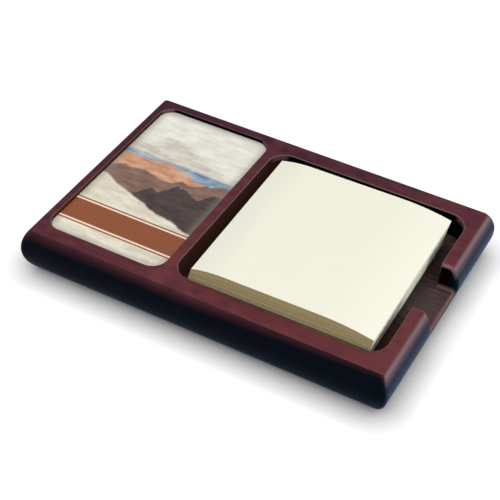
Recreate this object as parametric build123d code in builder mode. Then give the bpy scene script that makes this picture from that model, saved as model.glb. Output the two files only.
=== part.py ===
from build123d import *
import math
import os

os.makedirs("parts", exist_ok=True)

# A desk holder for square notes: one routed hardwood board with softly rounded
# sides, a deep square well for a block of notes, a finger notch through the
# end wall of the well, and a shallow pocket that holds a picture plate.
# The origin is on the desk under the middle of the board. X runs along the
# board from the picture to the notes, Y from the front rail to the back one.

# Block of square notes on its backing card
note_size = 76.2
block_height = 18.5
card_thickness = 0.5
block_slump = 4.6  # how far the stack leans along X from its foot to its top
front_slump = 1.4  # how far it leans towards the front rail
block_turn = 0.9  # degrees that the block lies askew in the well
block_front_gap = 0.5  # from the round corner of the well to the block's foot
block_end_gap = 6.7  # from the end wall of the well to the block's foot
near_curl = 14.0  # length of the top that curls down beside the partition
near_drop = 1.9
far_curl = 22.0  # length of the top that curls down beside the notch
far_drop = 2.5

# Well for the notes
well_room = 11.8  # how much wider than the notes the well is
well_depth = 11.0
well_corner = 8.0
well_ease = 0.6  # softened mouth of the well

# Finger notch through the end wall
notch_width = 26.6
notch_root = 2.0  # radius where the notch's sides run into its floor
notch_ease = 1.8  # softened edge all round the notch's outer mouth

# Picture plate and the two tape strips that hold it
plate_width = 52.4
plate_corner = 6.3
plate_thickness = 0.8
plate_sink = 1.5  # the plate's face lies this far below the top face
plate_gap = 0.2  # between the plate's edge and the wall of its pocket
plate_ease = 0.2  # bevel round the plate's face
tape_thickness = 0.3
tape_width = 12.0
tape_margin = 6.2  # from the plate's long side to the end of the strip
tape_inset = 16.0  # from the plate's short side to the middle of the strip
pocket_ease = 0.3  # softened mouth of the pocket

# Flat of the board left round the hollows
side_rail = 7.4  # in front of the well and behind it
end_rail = 4.7  # between the well and the right end
partition = 4.4  # between the well and the pocket
picture_rail = 2.9  # between the pocket and the left end
pocket_front_rail = 5.8
pocket_back_rail = 4.0

# Board
board_thickness = 19.0
edge_bulge = 3.6  # how far the rounded side stands out past the top face
corner_round = 2.0  # rounds the mitre where two bowed sides meet
top_ease = 0.9  # softened edge between the top face and the rounded side
base_ease = 1.4  # softened edge round the underside

# Feet under the board
foot_diameter = 12.0
foot_height = 1.2
foot_inset = 17.0  # from the outside of the board to the middle of the foot
foot_ease = 0.4  # bevel round the foot's sole

# Heights above the desk
base_z = foot_height
top_z = base_z + board_thickness
floor_z = top_z - well_depth
plate_base_z = top_z - plate_sink - plate_thickness
pocket_z = plate_base_z - tape_thickness

# Plan of the board, measured from the right end of its flat top
well_size = note_size + well_room
pocket_width = plate_width + 2 * plate_gap
flat_length = picture_rail + pocket_width + partition + well_size + end_rail
flat_width = well_size + 2 * side_rail
pocket_length = flat_width - pocket_front_rail - pocket_back_rail
plate_length = pocket_length - 2 * plate_gap
tray_length = flat_length + 2 * edge_bulge
tray_width = flat_width + 2 * edge_bulge
well_end_x = flat_length / 2 - end_rail
well_near_x = well_end_x - well_size
well_x = well_end_x - well_size / 2
pocket_x = well_near_x - partition - pocket_width / 2
pocket_y = -flat_width / 2 + pocket_front_rail + pocket_length / 2

# Plan of the block. The reach is half the room that the askew square takes,
# and its front corner stands off the round corner of the well.
turn = math.radians(block_turn)
block_reach = note_size / 2 * (math.cos(turn) + abs(math.sin(turn)))
block_x = well_end_x - block_end_gap - block_reach
corner_x = block_x - note_size / 2 * (math.cos(turn) - math.sin(turn))
corner_run = max(0, well_near_x + well_corner - corner_x)
corner_rise = well_corner - math.sqrt(well_corner**2 - corner_run**2)
block_y = -well_size / 2 + corner_rise + block_front_gap + block_reach

touch = 0.001  # how near an edge lies to a place to count as being there


def export(piece, name):
    """Labels a finished piece and writes it under its own name."""
    piece.part.label = name
    export_step(piece.part, f"parts/{name}.step")


def at_height(edges, height):
    """Those of the edges that lie at one height."""
    return edges.filter_by_position(Axis.Z, height - touch, height + touch)


def within(edges, x, y, length, width):
    """Those of the edges that lie inside a rectangle seen from above."""
    edges = edges.filter_by_position(Axis.X, x - length / 2 - touch, x + length / 2 + touch)
    return edges.filter_by_position(Axis.Y, y - width / 2 - touch, y + width / 2 + touch)


def board_section(half_flat):
    """The board's section: flat above and below, with both sides bowed out."""
    half_out = half_flat + edge_bulge
    middle_z = base_z + board_thickness / 2
    Line((-half_flat, base_z), (half_flat, base_z))
    ThreePointArc((half_flat, base_z), (half_out, middle_z), (half_flat, top_z))
    Line((half_flat, top_z), (-half_flat, top_z))
    ThreePointArc((-half_flat, top_z), (-half_out, middle_z), (-half_flat, base_z))


# The board. The same bow runs along all four sides, so the long section and
# the cross section meet in mitres, which are rounded over before the top and
# the underside are eased.
with BuildPart() as tray_body:
    with BuildSketch(Plane.XZ):
        with BuildLine():
            board_section(flat_length / 2)
        make_face()
    extrude(amount=tray_width, both=True)
    with BuildSketch(Plane.YZ):
        with BuildLine():
            board_section(flat_width / 2)
        make_face()
    extrude(amount=tray_length, both=True, mode=Mode.INTERSECT)
    fillet(tray_body.edges().filter_by(GeomType.LINE, reverse=True), corner_round)
    fillet(at_height(tray_body.edges(), top_z), top_ease)
    fillet(at_height(tray_body.edges(), base_z), base_ease)

    # the well, with round corners and a flat floor
    with BuildSketch(Plane.XY.offset(floor_z)):
        with Locations((well_x, 0)):
            RectangleRounded(well_size, well_size, well_corner)
    extrude(amount=well_depth, mode=Mode.SUBTRACT)

    # the finger notch, level with the well's floor and open to the end: its
    # sides run into the floor on a radius, and one soft edge follows its
    # outer mouth from the top face down the rounded end and along the floor
    notch_reach = 2 * (end_rail + edge_bulge)
    with BuildSketch(Plane.XY.offset(floor_z)):
        with Locations((tray_length / 2, 0)):
            Rectangle(notch_reach, notch_width)
    extrude(amount=well_depth, mode=Mode.SUBTRACT)
    notch_lines = within(tray_body.edges(), tray_length / 2, 0, notch_reach, notch_width)
    fillet(at_height(notch_lines.filter_by(Axis.X), floor_z), notch_root)
    notch_lines = within(tray_body.edges(), tray_length / 2, 0, notch_reach, notch_width)
    fillet(at_height(notch_lines.filter_by(Axis.X), top_z), notch_ease)

    # the soft mouth of the well, which runs on down the corners of the notch
    well_mouth = within(tray_body.edges(), well_x, 0, well_size, well_size)
    fillet(at_height(well_mouth, top_z), well_ease)

    # the pocket, just deep enough to sink the plate below the top face
    with BuildSketch(Plane.XY.offset(pocket_z)):
        with Locations((pocket_x, pocket_y)):
            RectangleRounded(pocket_width, pocket_length, plate_corner + plate_gap)
    extrude(amount=top_z - pocket_z, mode=Mode.SUBTRACT)
    pocket_mouth = within(tray_body.edges(), pocket_x, pocket_y, pocket_width, pocket_length)
    fillet(at_height(pocket_mouth, top_z), pocket_ease)
export(tray_body, "tray_body")

# The picture plate: a thin printed plate that drops into the pocket.
with BuildPart() as picture_plate:
    with BuildSketch(Plane.XY.offset(plate_base_z)):
        with Locations((pocket_x, pocket_y)):
            RectangleRounded(plate_width, plate_length, plate_corner)
    extrude(amount=plate_thickness)
    chamfer(at_height(picture_plate.edges(), plate_base_z + plate_thickness), plate_ease)
export(picture_plate, "picture_plate")

# Two strips of double-sided tape hold the plate down, one near each end.
for end, side in (("front", -1), ("back", 1)):
    with BuildPart() as tape:
        with BuildSketch(Plane.XY.offset(pocket_z)):
            with Locations((pocket_x, pocket_y + side * (plate_length / 2 - tape_inset))):
                Rectangle(plate_width - 2 * tape_margin, tape_width)
        extrude(amount=tape_thickness)
    export(tape, f"tape_{end}")

# The backing card lies on the floor of the well, askew in its clearance.
card_plane = Plane(origin=(block_x, block_y, floor_z)).rotated((0, 0, block_turn))
with BuildPart() as backing_card:
    with BuildSketch(card_plane):
        Rectangle(note_size, note_size)
    extrude(amount=card_thickness)
export(backing_card, "backing_card")

# The block of notes stands on the card. The sheets have slid on one another,
# so that the stack leans towards the notch and onto the front rail, and its
# crown curls down at both ends.
block_plane = card_plane.offset(card_thickness)
lean = block_slump * card_plane.x_dir - front_slump * card_plane.y_dir
lean += block_height * card_plane.z_dir
side_plane = Plane(origin=block_plane.origin, x_dir=card_plane.x_dir, z_dir=-card_plane.y_dir)
near_edge = (block_slump - note_size / 2, block_height - near_drop)
near_crest = (near_edge[0] + near_curl, block_height)
far_edge = (block_slump + note_size / 2, block_height - far_drop)
far_crest = (far_edge[0] - far_curl, block_height)
with BuildPart() as note_block:
    with BuildSketch(block_plane):
        Rectangle(note_size, note_size)
    extrude(amount=lean.length, dir=lean)
    with BuildSketch(side_plane):
        with BuildLine():
            Line((-note_size, 0), (note_size, 0))
            Line((note_size, 0), (note_size, far_edge[1]))
            Line((note_size, far_edge[1]), far_edge)
            TangentArc(far_crest, far_edge, tangent=(1, 0))
            Line(far_crest, near_crest)
            TangentArc(near_crest, near_edge, tangent=(-1, 0))
            Line(near_edge, (-note_size, near_edge[1]))
            Line((-note_size, near_edge[1]), (-note_size, 0))
        make_face()
    extrude(amount=note_size, both=True, mode=Mode.INTERSECT)
export(note_block, "note_block")

# Four round rubber feet, stuck on under the corners of the board.
for row, side_y in (("front", -1), ("back", 1)):
    for end, side_x in (("left", -1), ("right", 1)):
        foot_x = side_x * (tray_length / 2 - foot_inset)
        foot_y = side_y * (tray_width / 2 - foot_inset)
        with BuildPart() as foot:
            with BuildSketch(Plane.XY):
                with Locations((foot_x, foot_y)):
                    Circle(foot_diameter / 2)
            extrude(amount=foot_height)
            chamfer(at_height(foot.edges(), 0), foot_ease)
        export(foot, f"foot_{row}_{end}")
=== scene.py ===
import math
import bpy
import numpy as np
from mathutils import Matrix, Vector


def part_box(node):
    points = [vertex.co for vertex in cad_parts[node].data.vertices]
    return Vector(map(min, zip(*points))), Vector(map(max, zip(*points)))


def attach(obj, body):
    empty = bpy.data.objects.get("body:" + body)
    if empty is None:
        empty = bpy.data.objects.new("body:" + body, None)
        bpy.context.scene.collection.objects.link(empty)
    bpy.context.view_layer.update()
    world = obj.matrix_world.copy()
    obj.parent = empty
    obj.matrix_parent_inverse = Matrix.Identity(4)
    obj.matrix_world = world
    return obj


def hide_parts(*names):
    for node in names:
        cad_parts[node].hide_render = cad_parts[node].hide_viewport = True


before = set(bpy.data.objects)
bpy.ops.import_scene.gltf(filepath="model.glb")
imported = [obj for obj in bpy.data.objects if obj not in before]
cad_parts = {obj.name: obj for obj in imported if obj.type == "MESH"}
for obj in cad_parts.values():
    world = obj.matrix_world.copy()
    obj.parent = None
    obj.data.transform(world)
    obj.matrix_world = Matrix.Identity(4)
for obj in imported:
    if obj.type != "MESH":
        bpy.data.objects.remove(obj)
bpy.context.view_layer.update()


# ---------------------------------------------------------------------------
# Camera. It looks down on the front right corner of the holder from about
# half a metre, with a long lens, and leans a little to one side.
camera_place = Vector((0.1786, -0.3610, 0.3644))
camera_azimuth = math.radians(26.95)  # from +Y towards -X
camera_elevation = math.radians(41.78)
camera_lean = math.radians(2.60)
camera_lens = 95.35  # mm
sensor_width = 36.0  # mm

camera_data = bpy.data.cameras.new("camera")
camera_data.lens = camera_lens
camera_data.sensor_width = sensor_width
camera = bpy.data.objects.new("camera", camera_data)
bpy.context.scene.collection.objects.link(camera)
camera.matrix_world = (
    Matrix.Translation(camera_place)
    @ Matrix.Rotation(camera_azimuth, 4, "Z")
    @ Matrix.Rotation(math.pi / 2 - camera_elevation, 4, "X")
    @ Matrix.Rotation(camera_lean, 4, "Z")
)
bpy.context.scene.camera = camera
bpy.context.scene.view_settings.view_transform = "Standard"


# ---------------------------------------------------------------------------
# Studio. A large soft lamp hangs overhead and two low ones stand off the right
# end, under a pale sky, on a plain white sheet that keeps a faint shadow.
lamps = {
    # name: place and size in metres, watts, colour
    "main_lamp": ((0.05, -0.12, 0.90), (0.60, 0.60), 4.25, "#fffdf8"),
    "end_lamp": ((0.75, 0.64, 0.20), (0.30, 0.06), 1.0, "#fff2ea"),
    "side_lamp": ((0.75, -0.30, 0.12), (0.30, 0.12), 1.85, "#ffffff"),
}
sky_tones = ((0.05, "#8fb4e6"), (0.45, "#efeef0"))  # height, from 0 to 1, and colour
sky_strength = 0.55
floor_radius = 0.8
floor_rim_points = 96
floor_glow = 0.95  # comes to white with the lamps' light on the sheet
contact_reach = 0.012  # how far from the holder its contact shadow goes
contact_power = 1.3
lamp_lit_floor = "#646464"  # takes the lamps' light, and so the holder's shadow
unseen_floor = "#c4c2be"  # what the holder gets its light from below from


def linear(colour):
    """An sRGB hex colour, such as "#5d3539", as linear red, green, blue, 1."""
    parts = np.array([int(colour[i:i + 2], 16) / 255 for i in (1, 3, 5)])
    curved = ((parts + 0.055) / 1.055) ** 2.4
    return (*np.where(parts <= 0.04045, parts / 12.92, curved).tolist(), 1.0)


def add(tree, kind, inputs=(), stops=(), **settings):
    """Adds a node with its own settings. An input is a value, a hex colour, a
    socket, or a node that stands for its first output in use. The stops of a
    colour ramp are pairs of a place and a colour."""
    new = tree.nodes.new(kind)
    for name, value in settings.items():
        setattr(new, name, value)
    for key, value in dict(inputs).items():
        if isinstance(value, bpy.types.Node):
            value = next(socket for socket in value.outputs if socket.enabled)
        if isinstance(value, bpy.types.NodeSocket):
            tree.links.new(value, new.inputs[key])
        else:
            new.inputs[key].default_value = linear(value) if isinstance(value, str) else value
    for number, (place, colour) in enumerate(stops):
        marks = new.color_ramp.elements
        mark = marks[number] if number < len(marks) else marks.new(place)
        mark.position = place
        mark.color = linear(colour) if isinstance(colour, str) else colour
    return new


def start_material(name):
    """A new material with an empty node tree, and that tree."""
    material = bpy.data.materials.new(name)
    material.use_nodes = True
    material.node_tree.nodes.clear()
    return material, material.node_tree


def sees_backdrop(tree):
    """1 for a ray from the camera, or one sent on by a gloss or a clear piece, and
    0 for the rays that only gather light."""
    path = add(tree, "ShaderNodeLightPath").outputs
    mirrored = add(tree, "ShaderNodeMath", {0: path["Is Camera Ray"], 1: path["Is Glossy Ray"]})
    return add(tree, "ShaderNodeMath", {0: mirrored, 1: path["Is Transmission Ray"]}, use_clamp=True)


for lamp_name, (place, size, watts, colour) in lamps.items():
    lamp_data = bpy.data.lights.new(lamp_name, "AREA")
    lamp_data.shape = "RECTANGLE"
    lamp_data.size, lamp_data.size_y = size
    lamp_data.energy = watts
    lamp_data.color = linear(colour)[:3]
    lamp = bpy.data.objects.new(lamp_name, lamp_data)
    lamp.location = place
    lamp.rotation_euler = (-Vector(place)).to_track_quat("-Z", "Y").to_euler()
    bpy.context.scene.collection.objects.link(lamp)

world = bpy.data.worlds.new("studio")
world.use_nodes = True
tree = world.node_tree
tree.nodes.clear()
direction = add(tree, "ShaderNodeTexCoord").outputs["Generated"]
height = add(tree, "ShaderNodeSeparateXYZ", {0: direction}).outputs["Z"]
sky = add(tree, "ShaderNodeValToRGB", {0: height}, stops=sky_tones)
sky_light = add(tree, "ShaderNodeBackground", {"Color": sky, "Strength": sky_strength})
backdrop = add(tree, "ShaderNodeBackground", {"Color": "#ffffff", "Strength": 1.0})
surroundings = add(tree, "ShaderNodeMixShader", {0: sees_backdrop(tree), 1: sky_light, 2: backdrop})
add(tree, "ShaderNodeOutputWorld", {"Surface": surroundings})
bpy.context.scene.world = world

rim_angles = np.arange(floor_rim_points) * 2 * math.pi / floor_rim_points
rim = np.stack([np.cos(rim_angles), np.sin(rim_angles), 0 * rim_angles], axis=-1) * floor_radius
floor_mesh = bpy.data.meshes.new("studio_floor")
floor_mesh.from_pydata(rim.tolist(), [], [list(range(floor_rim_points))])
floor = bpy.data.objects.new("studio_floor", floor_mesh)
bpy.context.scene.collection.objects.link(floor)

# White paper: seen as white, darker only beside the holder and in its shadow.
floor_paper, tree = start_material("white paper floor")
openness = add(tree, "ShaderNodeAmbientOcclusion", {"Distance": contact_reach}, samples=8).outputs["AO"]
openness = add(tree, "ShaderNodeMath", {0: openness, 1: contact_power}, operation="POWER")
openness = add(tree, "ShaderNodeMath", {0: openness, 1: floor_glow}, operation="MULTIPLY")
glow = add(tree, "ShaderNodeEmission", {"Color": "#ffffff", "Strength": openness})
shadowed = add(tree, "ShaderNodeBsdfDiffuse", {"Color": lamp_lit_floor})
seen_paper = add(tree, "ShaderNodeAddShader", {0: glow, 1: shadowed})
plain_paper = add(tree, "ShaderNodeBsdfDiffuse", {"Color": unseen_floor})
paper = add(tree, "ShaderNodeMixShader", {0: sees_backdrop(tree), 1: plain_paper, 2: seen_paper})
add(tree, "ShaderNodeOutputMaterial", {"Surface": paper})
floor_mesh.materials.append(floor_paper)


# ---------------------------------------------------------------------------
# Tray body. One board of rubberwood, routed, stained dark red and sprayed with
# a satin lacquer. Painted light makes the stain lighter towards the front right,
# and painted shade, with a painted blue reflection and painted highlights, darkens
# the sides and the well.
thickness = 0.019  # of the board
bulge = 0.0036  # how far the bowed sides stand out past the flat top
well_depth = 0.011
well_end_x = 0.0717  # the well's wall at the notch
partition_x = -0.0185  # middle of the wood between the pocket and the well
notch_half = 0.0133  # half the width of the notch
tray_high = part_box("tray_body")[1]
flat_x, flat_y, top_z = tray_high[0] - bulge, tray_high[1] - bulge, tray_high[2]
floor_z = top_z - well_depth

# The stain's dark and light tones, which its clouds and the painted light from the
# back left to the front right go between, and its tone in the pores.
thick_stain_and_shade, thin_stain_and_light, pore_stain = "#432430", "#6b393d", "#30141a"
painted_light_towards = (0.55, -0.83, 0.0)  # the way along the board in which painted light makes the stain lighter
painted_light_reach = 0.075  # how far from the middle that goes on
cloud_share = 0.30  # how much a cloud thickens or thins it
partition_lift_share = 0.3  # how much lighter it is on the partition
partition_lift_full, partition_lift_end = 0.0015, 0.0040  # from the partition's middle: fully lighter, and not lighter
pore_share = 0.12  # how far a pore goes to its own tone
painted_edge_highlight, edge_highlight_share = "#8d7371", 0.55  # a painted highlight on rounded edges
lip_highlight_share = 0.7  # how much of that painted highlight the lip of the notch's floor gets
# Tones of the painted shade, with a painted highlight near the right end's top
# edge and a painted blue reflection low on the sides, from the top (0) to the foot
# (1) of a side, and in the well by how far a wall faces the light from the right
# end (0 to 1).
painted_end_tones = (
    (0.01, "#6f4c4e"),
    (0.07, "#7f696b"),
    (0.15, "#574853"),
    (0.26, "#212539"),
    (0.50, "#112b43"),
    (1.0, "#133e5c"),
)
painted_long_side_tones = ((0.04, "#26181c"), (0.20, "#080d16"), (0.60, "#040d18"), (1.0, "#061426"))
painted_well_wall_tones = ((0.30, "#090505"), (1.0, "#4d2e20"))
# Share of the painted shade by the slope of a face, from 0, facing down, to 1,
# facing up: none underneath, all on the sides, less over the rounded top edge.
painted_shade_shares = ((0.03, 0.0), (0.10, 1.0), (0.67, 1.0), (0.76, 0.75), (0.86, 0.0))
top_blur = 0.0006  # how softly the sides begin at the edge of the flat top
shade_rise = 0.10  # how much higher the painted shade of the long sides begins at the right end
shade_reach_right, shade_reach_back = 0.10, 0.12  # how much further the painted shade goes over the top edge there

# The well's floor, the cutter's tracks on it and a painted highlight, a pale
# sheen, at the notch.
floor_brown, floor_red, track_tone, painted_sheen_tone = "#2f2725", "#462d2c", "#6d6262", "#675c60"
track_share, painted_sheen_share = 0.28, 0.26
painted_sheen_near, painted_sheen_far = 0.003, 0.017  # from the notch: full, and gone

# Roughness of the lacquer between the clouds of stain and in them.
dull_satin, bright_satin = 0.40, 0.33

# Patterns along the grain, in steps to the metre. Pores are 12 mm long and
# 0.5 mm wide, twice as wide as real ones so that they show, clouds of stain are
# 8 mm by 4 mm, and the cutter's tracks on the well's floor are 0.8 mm wide.
pores_per_metre = (80, 2000, 2000)
clouds_per_metre = (120, 250, 250)
tracks_per_metre = (90, 1300, 0)
noise_low, noise_high = 0.3, 0.7  # nearly all of a noise lies between these


def dress(node, material):
    """Gives a CAD node one material all over."""
    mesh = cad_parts[node].data
    mesh.materials.clear()
    mesh.materials.append(material)


wood, tree = start_material("stained rubberwood under satin lacquer")
texture = add(tree, "ShaderNodeTexCoord").outputs
where = texture["Object"]
x, y, z = add(tree, "ShaderNodeSeparateXYZ", {0: where}).outputs
slope_x, slope_y, slope_z = add(tree, "ShaderNodeSeparateXYZ", {0: texture["Normal"]}).outputs

# Grain: stain in clouds, lighter still on the partition, with the pores darker,
# and painted light that makes it lighter from the back left corner to the front right one.
pore_grid = add(tree, "ShaderNodeMapping", {"Vector": where, "Scale": pores_per_metre})
pores = add(tree, "ShaderNodeTexNoise", {"Vector": pore_grid, "Scale": 1.0, "Detail": 2.0})
cloud_grid = add(tree, "ShaderNodeMapping", {"Vector": where, "Scale": clouds_per_metre})
clouds = add(tree, "ShaderNodeTexNoise", {"Vector": cloud_grid, "Scale": 1.0, "Detail": 3.0})
# Painted light: the stain gets lighter from the back left to the front right.
aslant = add(tree, "ShaderNodeVectorMath", {0: where, 1: painted_light_towards}, operation="DOT_PRODUCT")
stain_and_light_level = add(tree, "ShaderNodeMapRange", {0: aslant, 1: -painted_light_reach, 2: painted_light_reach})
cloudy = {0: clouds, 1: noise_low, 2: noise_high, 3: -cloud_share, 4: cloud_share}
cloudy = add(tree, "ShaderNodeMapRange", cloudy)
from_partition = add(tree, "ShaderNodeMath", {0: x, 1: partition_x}, operation="SUBTRACT")
from_partition = add(tree, "ShaderNodeMath", {0: from_partition}, operation="ABSOLUTE")
partition_lift = {0: from_partition, 1: partition_lift_full, 2: partition_lift_end, 3: partition_lift_share, 4: 0.0}
partition_lift = add(tree, "ShaderNodeMapRange", partition_lift)
for change in (cloudy, partition_lift):
    stain_and_light_level = add(tree, "ShaderNodeMath", {0: stain_and_light_level, 1: change}, operation="ADD")
stain = add(tree, "ShaderNodeValToRGB", {0: stain_and_light_level}, stops=((0.0, thick_stain_and_shade), (1.0, thin_stain_and_light)))
in_pore = add(tree, "ShaderNodeMapRange", {0: pores, 1: 0.35, 2: 0.5, 3: pore_share, 4: 0.0})
grain = add(tree, "ShaderNodeMix", {0: in_pore, 6: stain, 7: pore_stain}, data_type="RGBA")

# Where a place is: how far outside the flat top, which is below 0 within it,
# and how far down a side, from 0 to 1. Where it faces, whatever the sign. Each
# mask from here on turns from 0 to 1 between two places, in metres, or between
# two slopes, which go from -1 to 1.
from_middle_x = add(tree, "ShaderNodeMath", {0: x}, operation="ABSOLUTE")
from_middle_y = add(tree, "ShaderNodeMath", {0: y}, operation="ABSOLUTE")
out_x = add(tree, "ShaderNodeMath", {0: from_middle_x, 1: flat_x}, operation="SUBTRACT")
out_y = add(tree, "ShaderNodeMath", {0: from_middle_y, 1: flat_y}, operation="SUBTRACT")
out = add(tree, "ShaderNodeMath", {0: out_x, 1: out_y}, operation="MAXIMUM")
outside = add(tree, "ShaderNodeMapRange", {0: out, 1: -top_blur, 2: top_blur})
down = add(tree, "ShaderNodeMapRange", {0: z, 1: top_z, 2: top_z - thickness})
facing_x = add(tree, "ShaderNodeMath", {0: slope_x}, operation="ABSOLUTE")
facing_y = add(tree, "ShaderNodeMath", {0: slope_y}, operation="ABSOLUTE")
facing_z = add(tree, "ShaderNodeMath", {0: slope_z}, operation="ABSOLUTE")

# Painted shade: brown-black inside, lighter on walls that face the right end,
# blue-black on the long sides, where the dark begins higher up towards the right,
# and bluer on the right end, with a painted blue reflection low down and a painted
# highlight along its upper edge.
raised = add(tree, "ShaderNodeMapRange", {0: x, 1: -flat_x, 2: flat_x, 3: 0.0, 4: shade_rise})
long_down = add(tree, "ShaderNodeMath", {0: down, 1: raised}, operation="ADD")
long_side_shade = add(tree, "ShaderNodeValToRGB", {0: long_down}, stops=painted_long_side_tones)
end_shade_and_highlight = add(tree, "ShaderNodeValToRGB", {0: down}, stops=painted_end_tones)
well_wall_shade = add(tree, "ShaderNodeValToRGB", {0: slope_x}, stops=painted_well_wall_tones)
endwise = add(tree, "ShaderNodeMath", {0: slope_x, 1: facing_y}, operation="SUBTRACT")
at_end = add(tree, "ShaderNodeMapRange", {0: endwise, 1: -0.1, 2: 0.5})
side_painted_light = add(tree, "ShaderNodeMix", {0: at_end, 6: long_side_shade, 7: end_shade_and_highlight}, data_type="RGBA")
painted_shade_colour = add(tree, "ShaderNodeMix", {0: outside, 6: well_wall_shade, 7: side_painted_light}, data_type="RGBA")

# The share of painted shade goes by the slope of the face. On the outside it
# reaches higher over the top edge towards the right end and along the back.
slope = add(tree, "ShaderNodeMapRange", {0: slope_z, 1: -1.0, 2: 1.0})
to_right = add(tree, "ShaderNodeMapRange", {0: x, 1: 0.0, 2: flat_x, 3: 0.0, 4: shade_reach_right})
to_back = add(tree, "ShaderNodeMapRange", {0: slope_y, 1: 0.1, 2: 0.4, 3: 0.0, 4: shade_reach_back})
reach = add(tree, "ShaderNodeMath", {0: to_right, 1: to_back}, operation="MAXIMUM")
reach = add(tree, "ShaderNodeMath", {0: reach, 1: outside}, operation="MULTIPLY")
slope = add(tree, "ShaderNodeMath", {0: slope, 1: reach}, operation="SUBTRACT")
painted_shade_stops = [(place, (level, level, level, 1.0)) for place, level in painted_shade_shares]
painted_shade_share = add(tree, "ShaderNodeValToRGB", {0: slope}, stops=painted_shade_stops)

# The well's floor: greyer and darker than the top, partly as painted shade, with
# the cutter's tracks, and a painted highlight, a pale sheen, where light comes in
# through the notch. It runs out over the floor of the notch.
track_grid = add(tree, "ShaderNodeMapping", {"Vector": where, "Scale": tracks_per_metre})
tracks = add(tree, "ShaderNodeTexNoise", {"Vector": track_grid, "Scale": 1.0, "Detail": 1.0})
patches = add(tree, "ShaderNodeMapRange", {0: clouds, 1: 0.42, 2: 0.62})
cut_floor = add(tree, "ShaderNodeMix", {0: patches, 6: floor_brown, 7: floor_red}, data_type="RGBA")
on_track = add(tree, "ShaderNodeMapRange", {0: tracks, 1: 0.50, 2: 0.68, 3: 0.0, 4: track_share})
cut_floor = add(tree, "ShaderNodeMix", {0: on_track, 6: cut_floor, 7: track_tone}, data_type="RGBA")
gap_place = (well_end_x, 0.0, floor_z)
from_gap = add(tree, "ShaderNodeVectorMath", {0: where, 1: gap_place}, operation="DISTANCE")
painted_sheen = {0: from_gap, 1: painted_sheen_near, 2: painted_sheen_far, 3: painted_sheen_share, 4: 0.0}
painted_sheen = add(tree, "ShaderNodeMapRange", painted_sheen)
cut_floor = add(tree, "ShaderNodeMix", {0: painted_sheen, 6: cut_floor, 7: painted_sheen_tone}, data_type="RGBA")
low_down = add(tree, "ShaderNodeMapRange", {0: z, 1: floor_z + 0.004, 2: floor_z + 0.001})
well_inside = add(tree, "ShaderNodeMapRange", {0: out, 1: -0.0030, 2: 0.0020, 3: 1.0, 4: 0.65})
on_floor = add(tree, "ShaderNodeMath", {0: low_down, 1: well_inside}, operation="MULTIPLY")
bare_wood = add(tree, "ShaderNodeMix", {0: on_floor, 6: grain, 7: cut_floor}, data_type="RGBA")

# The notch's floor keeps that colour out to its rounded edge, so the painted
# shade is taken off it, and left whole beside it, below it and on the left half.
beside_notch = add(tree, "ShaderNodeMapRange", {0: from_middle_y, 1: 0.0120, 2: notch_half})
left_of_middle = add(tree, "ShaderNodeMapRange", {0: x, 1: 0.001, 2: 0.0})
below_notch = add(tree, "ShaderNodeMapRange", {0: z, 1: floor_z - 0.001, 2: floor_z - 0.004})
off_notch = add(tree, "ShaderNodeMath", {0: beside_notch, 1: left_of_middle}, operation="MAXIMUM")
off_notch = add(tree, "ShaderNodeMath", {0: off_notch, 1: below_notch}, operation="MAXIMUM")
painted_shade_share = add(tree, "ShaderNodeMath", {0: painted_shade_share, 1: off_notch}, operation="MULTIPLY")
# The stain with the painted shade laid over it.
dyed_with_painted_light = add(tree, "ShaderNodeMix", {0: painted_shade_share, 6: bare_wood, 7: painted_shade_colour}, data_type="RGBA")

# Painted highlights on rounded edges: a face that squares with no axis is on a
# rounded edge. They are the mouths of the well and the pocket, the edge that
# follows the notch down the bowed end, and the lip of the notch's floor.
squarest = add(tree, "ShaderNodeMath", {0: facing_x, 1: facing_y}, operation="MAXIMUM")
squarest = add(tree, "ShaderNodeMath", {0: squarest, 1: facing_z}, operation="MAXIMUM")
rounded = add(tree, "ShaderNodeMapRange", {0: squarest, 1: 0.97, 2: 0.90})
inside = add(tree, "ShaderNodeMapRange", {0: out, 1: -0.0005, 2: -0.0010})
near_top = add(tree, "ShaderNodeMapRange", {0: z, 1: top_z - 0.003, 2: top_z - 0.002})
sideways = add(tree, "ShaderNodeMapRange", {0: facing_y, 1: 0.15, 2: 0.45})
near_notch = add(tree, "ShaderNodeMapRange", {0: from_middle_y, 1: 0.019, 2: 0.018})
high_up = add(tree, "ShaderNodeMapRange", {0: z, 1: top_z - 0.006, 2: top_z - 0.001})
above_lip = {0: z, 1: floor_z - 0.0025, 2: floor_z - 0.0010, 3: 0.0, 4: lip_highlight_share}
above_lip = add(tree, "ShaderNodeMapRange", above_lip)
in_notch = add(tree, "ShaderNodeMath", {0: 1.0, 1: off_notch}, operation="SUBTRACT")
painted_highlight = 0.0
for places in ((inside, near_top), (sideways, near_notch, high_up), (above_lip, in_notch)):
    share = rounded
    for place in places:
        share = add(tree, "ShaderNodeMath", {0: share, 1: place}, operation="MULTIPLY")
    painted_highlight = add(tree, "ShaderNodeMath", {0: painted_highlight, 1: share}, operation="MAXIMUM")
painted_highlight = add(tree, "ShaderNodeMath", {0: painted_highlight, 1: edge_highlight_share}, operation="MULTIPLY")
dyed_with_painted_light = add(tree, "ShaderNodeMix", {0: painted_highlight, 6: dyed_with_painted_light, 7: painted_edge_highlight}, data_type="RGBA")

# Lacquer rubbed to satin: hardly a mirror, with a cold haze at a low angle.
polish = {0: clouds, 1: noise_low, 2: noise_high, 3: dull_satin, 4: bright_satin}
polish = add(tree, "ShaderNodeMapRange", polish)
relief = add(tree, "ShaderNodeBump", {"Height": pores, "Strength": 0.06, "Distance": 0.0002})
lacquer = {
    "Base Color": dyed_with_painted_light,
    "Roughness": polish,
    "Normal": relief,
    "IOR": 1.5,
    "Specular IOR Level": 0.02,
    "Sheen Weight": 0.5,
    "Sheen Roughness": 0.2,
    "Sheen Tint": "#2f86e0",
}
add(tree, "ShaderNodeOutputMaterial", {"Surface": add(tree, "ShaderNodeBsdfPrincipled", lacquer)})
dress("tray_body", wood)
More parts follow.
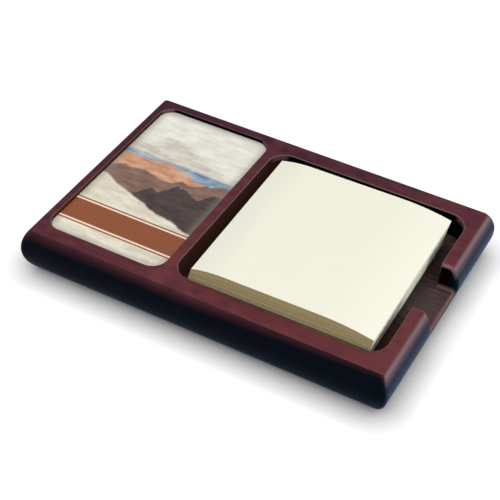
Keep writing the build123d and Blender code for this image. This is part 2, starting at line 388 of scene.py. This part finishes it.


# ---------------------------------------------------------------------------
# Picture plate. A thin plate, printed with a landscape in washes and a russet band
# between two cream stripes, and sealed, greying towards its border.
plate_low, plate_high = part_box("picture_plate")
plate_x, plate_y = ((plate_low[i] + plate_high[i]) / 2 for i in (0, 1))
plate_half_x, plate_half_y = ((plate_high[i] - plate_low[i]) / 2 for i in (0, 1))
washes_per_metre = (100, 300, 0)  # washes of colour are 10 mm long and 3 mm high
wash_low, wash_high = 0.38, 0.62  # where in the noise a wash turns from dark to light
paper_sky = ("#e0e1d4", "#f6f3e7")
hills = (
    # height at the left and at the right from the plate's middle, size and width
    # of the waves and blur of the edge, all in metres, and two tones of the wash
    (0.027, 0.020, 0.010, 0.030, 0.0025, "#c8bfb2", "#e6e2d5"),
    (0.015, 0.014, 0.002, 0.050, 0.0006, "#47769f", "#b4c3c8"),
    (0.012, 0.009, 0.006, 0.020, 0.0008, "#b9805f", "#e0b08d"),
    (0.002, 0.010, 0.008, 0.024, 0.0005, "#6f5147", "#8f6f60"),
    (-0.012, 0.002, 0.010, 0.016, 0.0004, "#2c1f1f", "#4d3a36"),
    (-0.006, -0.022, 0.005, 0.030, 0.0006, "#d8cfba", "#f0ead9"),
)
hill_seed_step = 3.7  # keeps the waves of one hill unlike those of the next
wave_low, wave_high = 0.25, 0.75  # where in the noise a wave is lowest and highest
fade_tone, fade_share = "#83817a", 0.48  # the grey fade, and how much of it the border gets
fade_reach = 0.0045  # how far it comes in
fade_corner = 0.004  # how softly it turns the corners
band_low, band_high = -0.0371, -0.0220
stripe_inset = 0.0012  # from the band's edge to the middle of the stripe
stripe_width = 0.0009
bars = (
    # middle, half width and tone
    ((band_low + band_high) / 2, (band_high - band_low) / 2, "#8a4a24"),
    (band_low + stripe_inset, stripe_width / 2, "#fbe0cc"),
    (band_high - stripe_inset, stripe_width / 2, "#fbe0cc"),
)
bar_blur = 0.0001

printed, tree = start_material("printed and sealed plate")
where = add(tree, "ShaderNodeTexCoord").outputs["Object"]
x, y, z = add(tree, "ShaderNodeSeparateXYZ", {0: where}).outputs

# Washes of two tones each, with a fine grain: the sky, then the hills one in
# front of the other.
wash_grid = add(tree, "ShaderNodeMapping", {"Vector": where, "Scale": washes_per_metre})
washes = {"Vector": wash_grid, "Scale": 1.0, "Detail": 6.0, "Roughness": 0.65}
washes = add(tree, "ShaderNodeTexNoise", washes)
wash = add(tree, "ShaderNodeMapRange", {0: washes, 1: wash_low, 2: wash_high})
colour = add(tree, "ShaderNodeMix", {0: wash, 6: paper_sky[0], 7: paper_sky[1]}, data_type="RGBA")
across = add(tree, "ShaderNodeCombineXYZ", {0: x})
from_left = add(tree, "ShaderNodeMapRange", {0: x, 1: plate_low[0], 2: plate_high[0]})
for number, (left, right, rise, width, blur, dark, light) in enumerate(hills, start=1):
    rim_line = add(tree, "ShaderNodeMapRange", {0: from_left, 3: plate_y + left, 4: plate_y + right})
    noise = {"Vector": across, "W": hill_seed_step * number, "Scale": 1 / width, "Detail": 5.0}
    noise = add(tree, "ShaderNodeTexNoise", noise, noise_dimensions="4D")
    wave = {0: noise, 1: wave_low, 2: wave_high, 3: -rise, 4: rise}
    wave = add(tree, "ShaderNodeMapRange", wave)
    ridge = add(tree, "ShaderNodeMath", {0: rim_line, 1: wave}, operation="ADD")
    under = add(tree, "ShaderNodeMath", {0: ridge, 1: y}, operation="SUBTRACT")
    share = add(tree, "ShaderNodeMapRange", {0: under, 1: -blur, 2: blur})
    tone = add(tree, "ShaderNodeMix", {0: wash, 6: dark, 7: light}, data_type="RGBA")
    colour = add(tree, "ShaderNodeMix", {0: share, 6: colour, 7: tone}, data_type="RGBA")

# The grey fade goes by the distance in from the border.
insets = []
for place, middle, half in ((x, plate_x, plate_half_x), (y, plate_y, plate_half_y)):
    away = add(tree, "ShaderNodeMath", {0: place, 1: middle}, operation="SUBTRACT")
    away = add(tree, "ShaderNodeMath", {0: away}, operation="ABSOLUTE")
    insets.append(add(tree, "ShaderNodeMath", {0: half, 1: away}, operation="SUBTRACT"))
inset = {0: insets[0], 1: insets[1], 2: fade_corner}
inset = add(tree, "ShaderNodeMath", inset, operation="SMOOTH_MIN")
fade = {0: inset, 1: 0.0, 2: fade_reach, 3: fade_share, 4: 0.0}
fade = add(tree, "ShaderNodeMapRange", fade, interpolation_type="SMOOTHSTEP")
colour = add(tree, "ShaderNodeMix", {0: fade, 6: colour, 7: fade_tone}, data_type="RGBA")

for middle, half, tone in bars:
    away = add(tree, "ShaderNodeMath", {0: y, 1: middle}, operation="SUBTRACT")
    away = add(tree, "ShaderNodeMath", {0: away}, operation="ABSOLUTE")
    share = add(tree, "ShaderNodeMapRange", {0: away, 1: half + bar_blur, 2: half - bar_blur})
    colour = add(tree, "ShaderNodeMix", {0: share, 6: colour, 7: tone}, data_type="RGBA")

# The seal over the print gives a low, even gloss.
seal = {"Base Color": colour, "Roughness": 0.35, "IOR": 1.5, "Specular IOR Level": 0.3}
add(tree, "ShaderNodeOutputMaterial", {"Surface": add(tree, "ShaderNodeBsdfPrincipled", seal)})
dress("picture_plate", printed)


# ---------------------------------------------------------------------------
# Mounting tape. Two strips of white foam with glue on both faces, pressed
# between the plate and the bottom of its pocket, so that they hardly show.
# Foam cut through its cells gives a matt, faintly pitted white.
cells_per_metre = 2500.0  # cells 0.4 mm across

tape_foam, tree = start_material("double-sided foam tape")
where = add(tree, "ShaderNodeTexCoord").outputs["Object"]
cells = add(tree, "ShaderNodeTexVoronoi", {"Vector": where, "Scale": cells_per_metre})
tint = add(tree, "ShaderNodeMapRange", {0: cells, 1: 0.0, 2: 0.6})
tint = add(tree, "ShaderNodeMix", {0: tint, 6: "#e6e4dc", 7: "#cfccc2"}, data_type="RGBA")
pits = add(tree, "ShaderNodeBump", {"Height": cells, "Strength": 0.3, "Distance": 0.0001})
foam = {"Base Color": tint, "Roughness": 0.7, "IOR": 1.5, "Normal": pits}
add(tree, "ShaderNodeOutputMaterial", {"Surface": add(tree, "ShaderNodeBsdfPrincipled", foam)})
for strip in ("tape_front", "tape_back"):
    dress(strip, tape_foam)


# ---------------------------------------------------------------------------
# Backing card. A sheet of grey-brown card under the notes, made of fibres
# pressed flat, which give it a dull, faintly mottled face.
card_fibres_per_metre = 1400.0  # mottles 0.7 mm across

card_board, tree = start_material("uncoated card")
where = add(tree, "ShaderNodeTexCoord").outputs["Object"]
mottle = add(tree, "ShaderNodeTexNoise", {"Vector": where, "Scale": card_fibres_per_metre, "Detail": 4.0})
tint = add(tree, "ShaderNodeMapRange", {0: mottle, 1: 0.35, 2: 0.65})
tint = add(tree, "ShaderNodeMix", {0: tint, 6: "#8d7f68", 7: "#a99c84"}, data_type="RGBA")
press = add(tree, "ShaderNodeBump", {"Height": mottle, "Strength": 0.2, "Distance": 0.0001})
card = {"Base Color": tint, "Roughness": 0.85, "IOR": 1.5, "Normal": press}
add(tree, "ShaderNodeOutputMaterial", {"Surface": add(tree, "ShaderNodeBsdfPrincipled", card)})
dress("backing_card", card_board)


# ---------------------------------------------------------------------------
# Note block. A stack of cream note paper, glued along its front side, where
# the glue shows yellow. The sheets have slid a little on one another towards
# the notch, and the top ones curl down at both ends.
note_half = 0.0381
block_turn = math.radians(0.9)
near_slump, far_slump = 0.0043, 0.0034  # how far the top has slid along X, at each end
front_slump = 0.0014  # how far the top has slid towards the front
foot_spread = 0.0004  # how far the foot stands out at the notch
foot_twist = 0.0002  # how much more it does so at the back, and less in front
near_curl, near_drop = 0.014, 0.0019  # length of the curl at the partition, and its fall
far_curl, far_drop = 0.022, 0.0025  # the same at the notch
bundles = 92  # groups of sheets that show as one line in the side of the stack
bundle_slip = 0.000015
bundle_growth = 0.0003
bundle_seed = 7
steps_across = 48
# Paper fibres are about a millimetre long, the cockle of a damp sheet 17 mm.
# In the cut sides three sheets go to a line of 0.3 mm, so that the lines show.
fibres_per_metre = 900.0
cockles_per_metre = 60.0
layers_per_metre = (18, 18, 3300)

card_low, card_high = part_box("backing_card")
block_x, block_y = ((card_low[i] + card_high[i]) / 2 for i in (0, 1))
block_foot = card_high[2]
block_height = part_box("note_block")[1][2] - block_foot


def stack_point(a, b, w):
    """The point at a across, b back and w up the stack, with a and b from -1 to 1
    and w from 0 to 1. The stack leans in proportion to w, a little less at the
    notch than at the partition, and towards the notch its foot stands out, more
    at the back than in front. Its sheets are let down at both ends by a parabola
    that grows with the square of w, and the whole is turned about the upright
    line through the card's middle."""
    x = a * note_half
    y = b * note_half
    near = np.clip((near_curl - note_half - x) / near_curl, 0, 1)
    far = np.clip((far_curl - note_half + x) / far_curl, 0, 1)
    z = block_foot + w * block_height - w**2 * (near_drop * near**2 + far_drop * far**2)
    slump = (near_slump + far_slump) / 2 + a * (far_slump - near_slump) / 2
    x = x + w * slump + (1 - w) * (1 + a) / 2 * (foot_spread + b * foot_twist)
    y = y - w * front_slump
    c, s = math.cos(block_turn), math.sin(block_turn)
    return np.stack([block_x + c * x - s * y, block_y + s * x + c * y, z], axis=-1)


def stack_rings():
    """Rings of points round the stack, one at the foot and one at the head of each
    bundle. A ring runs along the front, up the right side, back along the rear
    and down the left side. Each bundle is shifted and widened by its own small
    amount, from a seeded draw."""
    draw = np.random.default_rng(bundle_seed)
    slip = draw.normal(0, bundle_slip, (bundles, 2))
    size = np.repeat(1 + draw.normal(0, bundle_growth, bundles), 2)[:, None]
    line = np.linspace(-1, 1, steps_across + 1)[:-1]
    one = np.ones(steps_across)
    ring_a = np.concatenate([line, one, -line, -one])
    ring_b = np.concatenate([-one, line, one, -line])
    head = (np.arange(bundles) + 1) / bundles
    w = np.stack([head - 1 / bundles, head], axis=1).ravel()[:, None]
    rings = stack_point(ring_a * size, ring_b * size, w + 0 * ring_a)
    rings[..., :2] += np.repeat(slip, 2, axis=0)[:, None]
    return rings


def cap_faces(start, first_inner):
    """Faces that close a ring whose points begin at start: the ring is laid round
    the rim of a square table of point numbers, the inner points fill the rest
    of it row by row, and each cell of the table is a face."""
    n = steps_across
    table = np.empty((n + 1, n + 1), dtype=int)
    table[1:-1, 1:-1] = first_inner + np.arange((n - 1) ** 2).reshape(n - 1, n - 1)
    table[0, :-1] = start + np.arange(n)
    table[:-1, n] = start + n + np.arange(n)
    table[n, :0:-1] = start + 2 * n + np.arange(n)
    table[:0:-1, 0] = start + 3 * n + np.arange(n)
    corners = [table[:-1, :-1], table[:-1, 1:], table[1:, 1:], table[1:, :-1]]
    return np.stack(corners, axis=-1).reshape(-1, 4)


rings = stack_rings()
ring_count, ring_size = rings.shape[:2]
row = np.arange(ring_count - 1)[:, None] * ring_size
here = np.arange(ring_size)[None]
ahead = (here + 1) % ring_size
corners = [row + here, row + ahead, row + ring_size + ahead, row + ring_size + here]
side_faces = np.stack(corners, axis=-1).reshape(-1, 4)
inner = np.linspace(-1, 1, steps_across + 1)[1:-1]
inner_a, inner_b = np.meshgrid(inner, inner)
bottom = stack_point(inner_a, inner_b, 0 * inner_a).reshape(-1, 3)
top = stack_point(inner_a, inner_b, 0 * inner_a + 1).reshape(-1, 3)
points = np.concatenate([rings.reshape(-1, 3), bottom, top])
bottom_start = ring_count * ring_size
bottom_faces = cap_faces(0, bottom_start)[:, ::-1]
top_faces = cap_faces(bottom_start - ring_size, bottom_start + len(bottom))
faces = np.concatenate([side_faces, bottom_faces, top_faces])
block_mesh = bpy.data.meshes.new("note_stack")
block_mesh.from_pydata(points.tolist(), [], faces.tolist())
block_mesh.update()
block = bpy.data.objects.new("note_stack", block_mesh)
bpy.context.scene.collection.objects.link(block)

paper_stack, tree = start_material("uncoated cream note paper")
texture = add(tree, "ShaderNodeTexCoord").outputs
where = texture["Object"]
slope_x, slope_y, slope_z = add(tree, "ShaderNodeSeparateXYZ", {0: texture["Normal"]}).outputs
fibres = add(tree, "ShaderNodeTexNoise", {"Vector": where, "Scale": fibres_per_metre, "Detail": 4.0})
cockle = add(tree, "ShaderNodeTexNoise", {"Vector": where, "Scale": cockles_per_metre, "Detail": 1.0})
layer_grid = add(tree, "ShaderNodeMapping", {"Vector": where, "Scale": layers_per_metre})
layers = add(tree, "ShaderNodeTexNoise", {"Vector": layer_grid, "Scale": 1.0, "Detail": 2.0})
# The top sheet, the glued front and the cut sides.
sheet = add(tree, "ShaderNodeMix", {0: fibres, 6: "#f3f2df", 7: "#f5f4e3"}, data_type="RGBA")
glued = add(tree, "ShaderNodeMix", {0: layers, 6: "#b09c68", 7: "#c6b380"}, data_type="RGBA")
cut = add(tree, "ShaderNodeMix", {0: layers, 6: "#dddcca", 7: "#efeee0"}, data_type="RGBA")
in_front = add(tree, "ShaderNodeMapRange", {0: slope_y, 1: -0.6, 2: -0.9})
edge = add(tree, "ShaderNodeMix", {0: in_front, 6: cut, 7: glued}, data_type="RGBA")
at_side = add(tree, "ShaderNodeMapRange", {0: slope_z, 1: 0.8, 2: 0.5})
cream = add(tree, "ShaderNodeMix", {0: at_side, 6: sheet, 7: edge}, data_type="RGBA")
# Uncoated paper has a fine tooth, so it is matt, and waves a little.
tooth = add(tree, "ShaderNodeBump", {"Height": fibres, "Strength": 0.05, "Distance": 0.0001})
waves = {"Height": cockle, "Strength": 0.15, "Distance": 0.001, "Normal": tooth}
waves = add(tree, "ShaderNodeBump", waves)
note_paper = {
    "Base Color": cream,
    "Roughness": 0.8,
    "Normal": waves,
    "IOR": 1.5,
    "Specular IOR Level": 0.2,
}
add(tree, "ShaderNodeOutputMaterial", {"Surface": add(tree, "ShaderNodeBsdfPrincipled", note_paper)})
block_mesh.materials.append(paper_stack)
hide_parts("note_block")
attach(block, "pad")


# ---------------------------------------------------------------------------
# Feet. Four moulded discs of black rubber, stuck on under the corners. The
# mould leaves them a dull, slightly uneven skin with some dust on it.
specks_per_metre = 700.0  # uneven by the millimetre and a half

rubber, tree = start_material("moulded black rubber")
where = add(tree, "ShaderNodeTexCoord").outputs["Object"]
dust = add(tree, "ShaderNodeTexNoise", {"Vector": where, "Scale": specks_per_metre, "Detail": 3.0})
tint = add(tree, "ShaderNodeMix", {0: dust, 6: "#1b1b1d", 7: "#29292b"}, data_type="RGBA")
skin = add(tree, "ShaderNodeBump", {"Height": dust, "Strength": 0.2, "Distance": 0.0001})
moulding = {"Base Color": tint, "Roughness": 0.65, "IOR": 1.5, "Normal": skin}
add(tree, "ShaderNodeOutputMaterial", {"Surface": add(tree, "ShaderNodeBsdfPrincipled", moulding)})
for foot in ("foot_front_left", "foot_front_right", "foot_back_left", "foot_back_right"):
    dress(foot, rubber)
